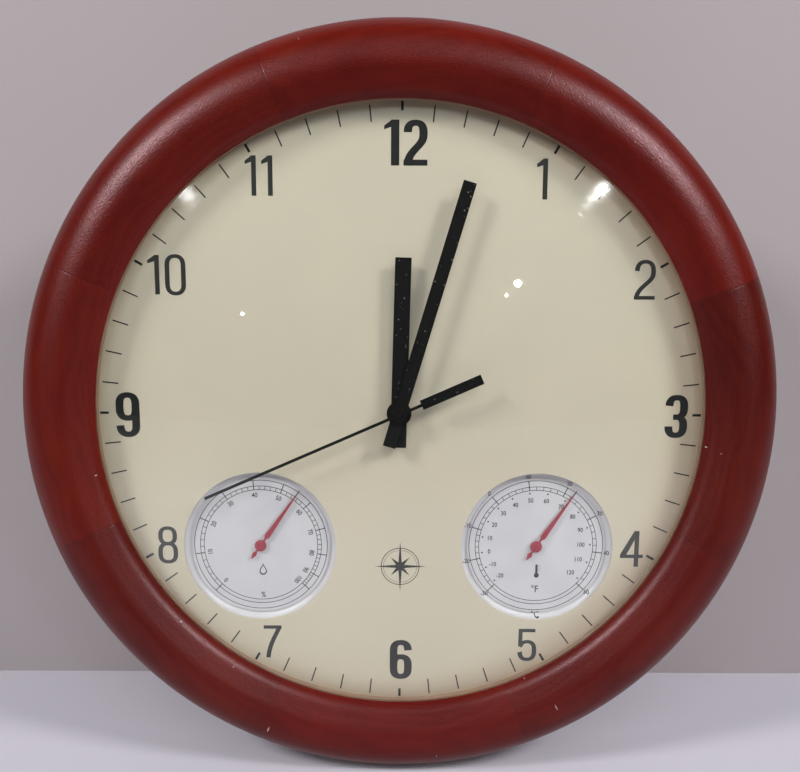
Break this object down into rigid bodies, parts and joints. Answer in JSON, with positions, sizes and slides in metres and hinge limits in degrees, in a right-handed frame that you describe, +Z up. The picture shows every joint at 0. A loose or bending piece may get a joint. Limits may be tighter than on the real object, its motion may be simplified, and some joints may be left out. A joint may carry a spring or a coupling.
{
  "type": "weather station clock",
  "caption": "Round wall clock with a turned wooden ring, domed glass, baton hands, a hygrometer and a thermometer let into the dial, a quartz movement and a keyhole hanger.",
  "frame": {"origin": "the middle of the bounding box: on the axis of the hands, half way through the clock's depth", "axes": "+Z up to twelve o'clock, +X to three o'clock, +Y from the front towards the wall"},
  "size_m": [0.35, 0.0396, 0.35],
  "materials": {
    "stained_wood": "mahogany stain under a satin lacquer",
    "clear_glass": "clear, domed",
    "cream_plastic": "cream, slightly glossy",
    "cream_paint": "cream satin paint with printed figures",
    "hardboard": "bare pressed board",
    "zinc_plated_steel": "zinc plated",
    "black_paint": "matt black",
    "black_plastic": "moulded black",
    "grey_plastic": "moulded grey",
    "white_plastic": "moulded white",
    "gear_plastic": "natural, unpigmented",
    "brass_parts": "plain",
    "copper_wire": "enamelled copper wire",
    "motor_iron": "dark magnetic iron",
    "ferrite": "sintered, dark grey",
    "circuit_green": "green lacquered laminate",
    "gasket_rubber": "black",
    "battery_sleeve": "plain wrapper",
    "pointer_red": "red",
    "printed_white": "white with a printed scale"
  },
  "bodies": {
    "case": {"antenna_coil": "copper_wire", "antenna_rod": "ferrite", "backing_board": "hardboard", "battery": "battery_sleeve", "battery_contact_positive": "zinc_plated_steel", "battery_contact_spring": "zinc_plated_steel", "case_gasket": "gasket_rubber", "circuit_board": "circuit_green", "controller_chip": "black_plastic", "crystal_can": "zinc_plated_steel", "dial_glass": "clear_glass", "dial_plate": "cream_paint", "frame_ring": "stained_wood", "hanger_plate": "zinc_plated_steel", "hanger_screw_1": "zinc_plated_steel", "hanger_screw_2": "zinc_plated_steel", "humidity_bridge_bar": "zinc_plated_steel", "humidity_coil": "brass_parts", "humidity_face": "printed_white", "humidity_housing": "white_plastic", "motor_coil": "copper_wire", "motor_core": "motor_iron", "mounting_nut": "brass_parts", "movement_case": "black_plastic", "rear_cover": "black_plastic", "retainer_clip_1": "zinc_plated_steel", "retainer_clip_2": "zinc_plated_steel", "retainer_clip_3": "zinc_plated_steel", "retainer_clip_4": "zinc_plated_steel", "retainer_screw_1": "zinc_plated_steel", "retainer_screw_2": "zinc_plated_steel", "retainer_screw_3": "zinc_plated_steel", "retainer_screw_4": "zinc_plated_steel", "spacer_ring": "cream_plastic", "stator": "motor_iron", "temperature_bridge_bar": "zinc_plated_steel", "temperature_coil": "brass_parts", "temperature_face": "printed_white", "temperature_housing": "white_plastic", "train_bridge": "grey_plastic"},
    "second_hand": {"second_hand": "black_paint", "seconds_wheel": "gear_plastic"},
    "minute_hand": {"minute_hand": "black_paint", "minute_wheel": "gear_plastic"},
    "hour_hand": {"hour_hand": "black_paint", "hour_wheel": "gear_plastic"},
    "third_wheel": {"third_wheel": "gear_plastic"},
    "motion_wheel": {"motion_wheel": "gear_plastic"},
    "idler_wheel": {"idler_wheel": "gear_plastic"},
    "motor_rotor": {"motor_rotor": "motor_iron"},
    "humidity_pointer": {"humidity_pointer": "pointer_red", "humidity_spindle": "zinc_plated_steel", "humidity_collet": "brass_parts"},
    "temperature_pointer": {"temperature_pointer": "pointer_red", "temperature_spindle": "zinc_plated_steel", "temperature_collet": "brass_parts"},
    "set_button": {"set_button": "white_plastic"},
    "receive_button": {"receive_button": "white_plastic"},
    "reset_button": {"reset_button": "white_plastic"}
  },
  "joints": [
    {"name": "second_hand_turn", "type": "hinge", "parent": "case", "child": "second_hand", "pos_m": [0, 0.004, 0], "axis": [0, 1, 0], "continuous": true},
    {"name": "minute_hand_turn", "type": "hinge", "parent": "case", "child": "minute_hand", "pos_m": [0, 0.004, 0], "axis": [0, 1, 0], "continuous": true},
    {"name": "hour_hand_turn", "type": "hinge", "parent": "case", "child": "hour_hand", "pos_m": [0, 0.004, 0], "axis": [0, 1, 0], "continuous": true},
    {"name": "third_wheel_turn", "type": "hinge", "parent": "case", "child": "third_wheel", "pos_m": [-0.00314, 0.004, 0.00863], "axis": [0, 1, 0], "continuous": true},
    {"name": "motion_wheel_turn", "type": "hinge", "parent": "case", "child": "motion_wheel", "pos_m": [-0.00789, 0.004, -0.00287], "axis": [0, 1, 0], "continuous": true},
    {"name": "idler_wheel_turn", "type": "hinge", "parent": "case", "child": "idler_wheel", "pos_m": [0.00552, 0.004, -0.00463], "axis": [0, 1, 0], "continuous": true},
    {"name": "motor_rotor_turn", "type": "hinge", "parent": "case", "child": "motor_rotor", "pos_m": [0.0118, 0.004, -0.00756], "axis": [0, 1, 0], "continuous": true},
    {"name": "humidity_pointer_turn", "type": "hinge", "parent": "case", "child": "humidity_pointer", "pos_m": [-0.06615, 0.004, -0.0653], "axis": [0, 1, 0], "range_deg": [-170.8, 99], "stiffness_Nm_per_rad": 0.0005},
    {"name": "temperature_pointer_turn", "type": "hinge", "parent": "case", "child": "temperature_pointer", "pos_m": [0.06615, 0.004, -0.0653], "axis": [0, 1, 0], "range_deg": [-168.9, 98.5], "stiffness_Nm_per_rad": 0.0005},
    {"name": "set_button_press", "type": "slide", "parent": "case", "child": "set_button", "axis": [0, -1, 0], "range_m": [0, 0.0008], "stiffness_N_per_m": 300},
    {"name": "receive_button_press", "type": "slide", "parent": "case", "child": "receive_button", "axis": [0, -1, 0], "range_m": [0, 0.0008], "stiffness_N_per_m": 300},
    {"name": "reset_button_press", "type": "slide", "parent": "case", "child": "reset_button", "axis": [0, -1, 0], "range_m": [0, 0.0008], "stiffness_N_per_m": 300}
  ],
  "couplings": [
    {"joint": "minute_hand_turn", "follows": "second_hand_turn", "ratio": 0.016667},
    {"joint": "hour_hand_turn", "follows": "second_hand_turn", "ratio": 0.0013889},
    {"joint": "third_wheel_turn", "follows": "second_hand_turn", "ratio": -0.13333},
    {"joint": "motion_wheel_turn", "follows": "second_hand_turn", "ratio": -0.0055556},
    {"joint": "idler_wheel_turn", "follows": "second_hand_turn", "ratio": -5},
    {"joint": "motor_rotor_turn", "follows": "second_hand_turn", "ratio": 30}
  ]
}
